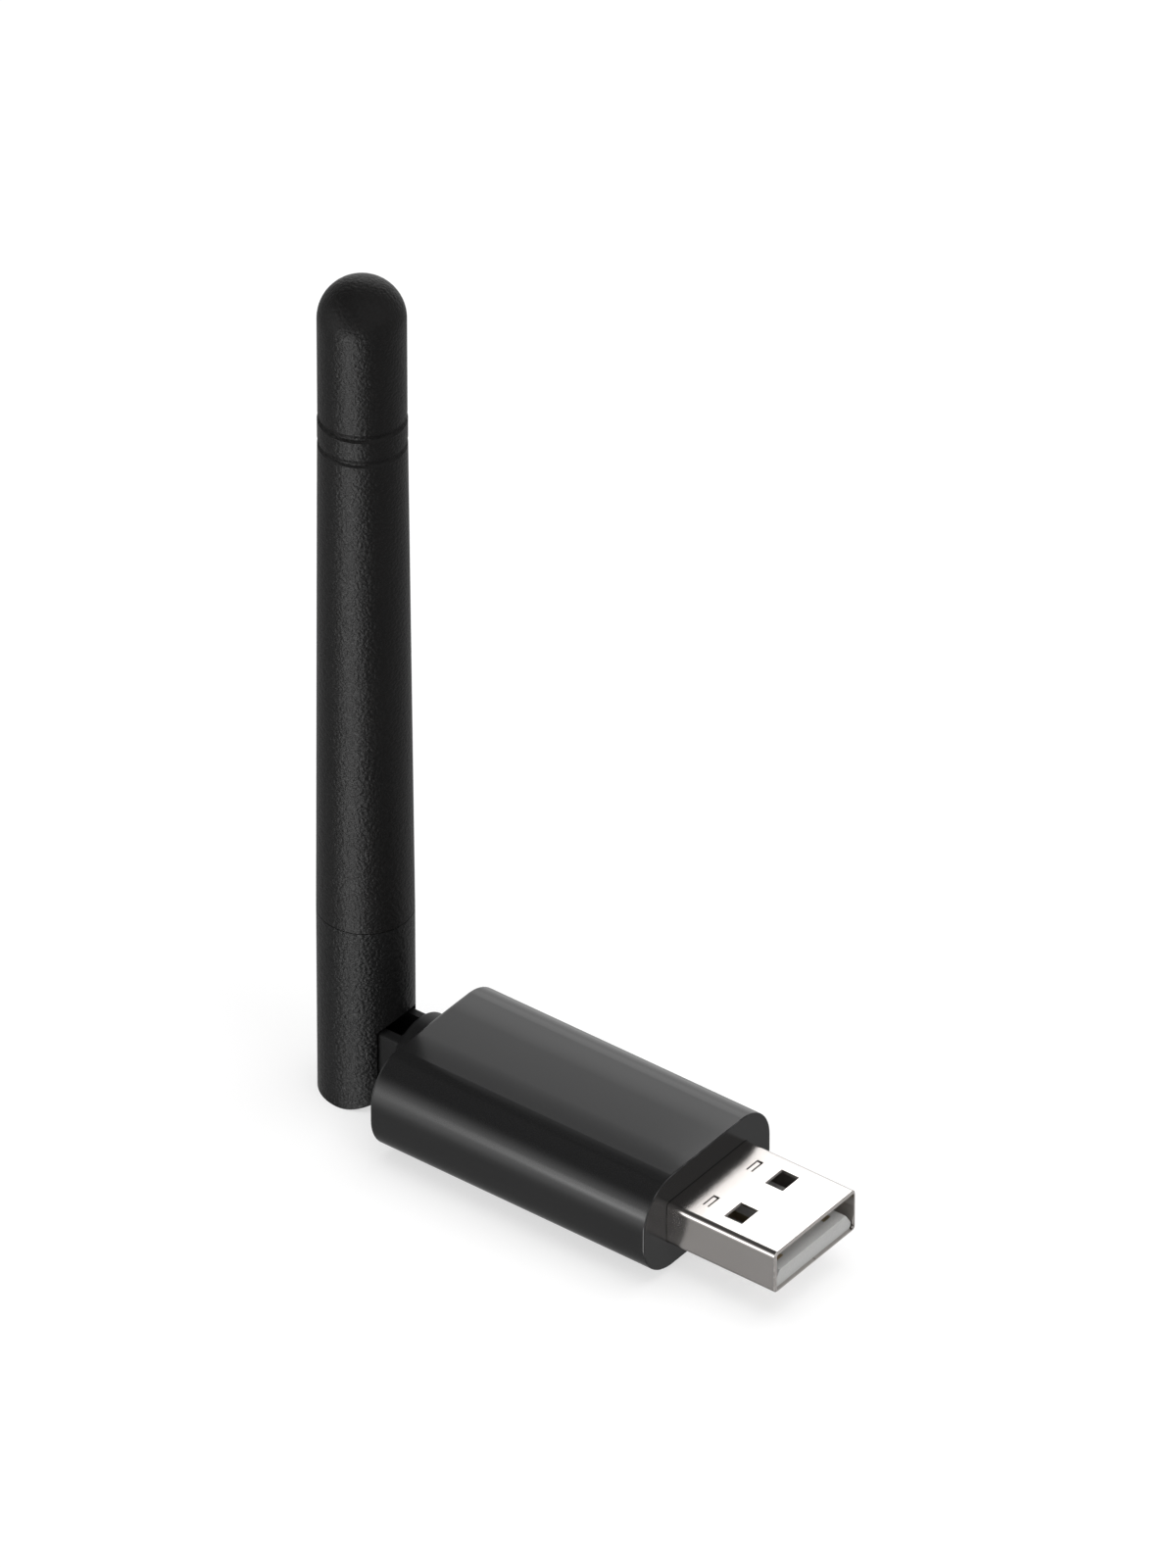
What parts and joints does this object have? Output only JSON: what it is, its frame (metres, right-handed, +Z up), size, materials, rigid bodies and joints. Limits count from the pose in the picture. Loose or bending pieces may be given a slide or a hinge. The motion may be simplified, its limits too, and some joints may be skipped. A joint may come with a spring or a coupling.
{
  "type": "smart home usb radio stick",
  "caption": "USB radio stick: rounded black can with a USB-A plug in front and a folding rod antenna on a swivel base at the rear.",
  "frame": {"origin": "centre of the can's flat bottom, which it rests on", "axes": "+X along the stick towards the USB plug, +Z up along the upright antenna, Y across the stick"},
  "size_m": [0.0551, 0.0186, 0.089],
  "materials": {
    "black_anodised": "black satin anodised aluminium with a soft sheen",
    "black_cap_plastic": "black moulded plastic, fine satin",
    "board_laminate": "green solder-masked glass laminate",
    "nickel_plate": "bright nickel plate on folded steel sheet",
    "grey_insert_plastic": "light grey moulded plastic",
    "gold_plate": "gold plate on copper alloy",
    "tinned_sheet": "tinned steel sheet, dull",
    "chip_epoxy": "black moulding compound, matt",
    "crystal_can": "plated lid on a ceramic base",
    "capacitor_ceramic": "fired tan ceramic with tinned ends",
    "resistor_ceramic": "black film on white ceramic with tinned ends",
    "cable_jacket": "dark grey cable jacket, smooth",
    "black_base_plastic": "black moulded plastic, fine satin",
    "spring_steel": "bare spring steel, blanked",
    "black_knuckle_plastic": "black plastic with a coarse spark-eroded grain",
    "black_sleeve_plastic": "black soft plastic with a fine grain, very slightly warm",
    "bare_brass": "bare drawn brass",
    "bare_copper": "bare copper wire"
  },
  "bodies": {
    "stick": {"housing_can": "black_anodised", "rear_cap": "black_cap_plastic", "circuit_board": "board_laminate", "usb_shell": "nickel_plate", "usb_insert": "grey_insert_plastic", "usb_contact_1": "gold_plate", "usb_contact_2": "gold_plate", "usb_contact_3": "gold_plate", "usb_contact_4": "gold_plate", "radio_shield": "tinned_sheet", "radio_chip": "chip_epoxy", "radio_crystal": "crystal_can", "usb_bridge_chip": "chip_epoxy", "voltage_regulator": "chip_epoxy", "usb_surge_diodes": "chip_epoxy", "chip_capacitors": "capacitor_ceramic", "chip_resistors": "resistor_ceramic", "cable_socket": "gold_plate", "cable_plug": "gold_plate", "cable_pigtail": "cable_jacket"},
    "swivel": {"swivel_base": "black_base_plastic", "retaining_ring": "spring_steel", "cable_bend": "cable_jacket"},
    "antenna": {"antenna_knuckle": "black_knuckle_plastic", "antenna_sleeve": "black_sleeve_plastic", "antenna_cable": "cable_jacket", "choke_tube": "bare_brass", "radiating_wire": "bare_copper"}
  },
  "joints": [
    {"name": "antenna_swivel", "type": "hinge", "parent": "stick", "child": "swivel", "pos_m": [-0.01545, 0, 0.00505], "axis": [1, 0, 0], "range_deg": [-90, 90]},
    {"name": "antenna_fold", "type": "hinge", "parent": "swivel", "child": "antenna", "pos_m": [-0.023, 0, 0.00505], "axis": [0, -1, 0], "range_deg": [0, 90], "deforming": ["cable_bend"]}
  ]
}
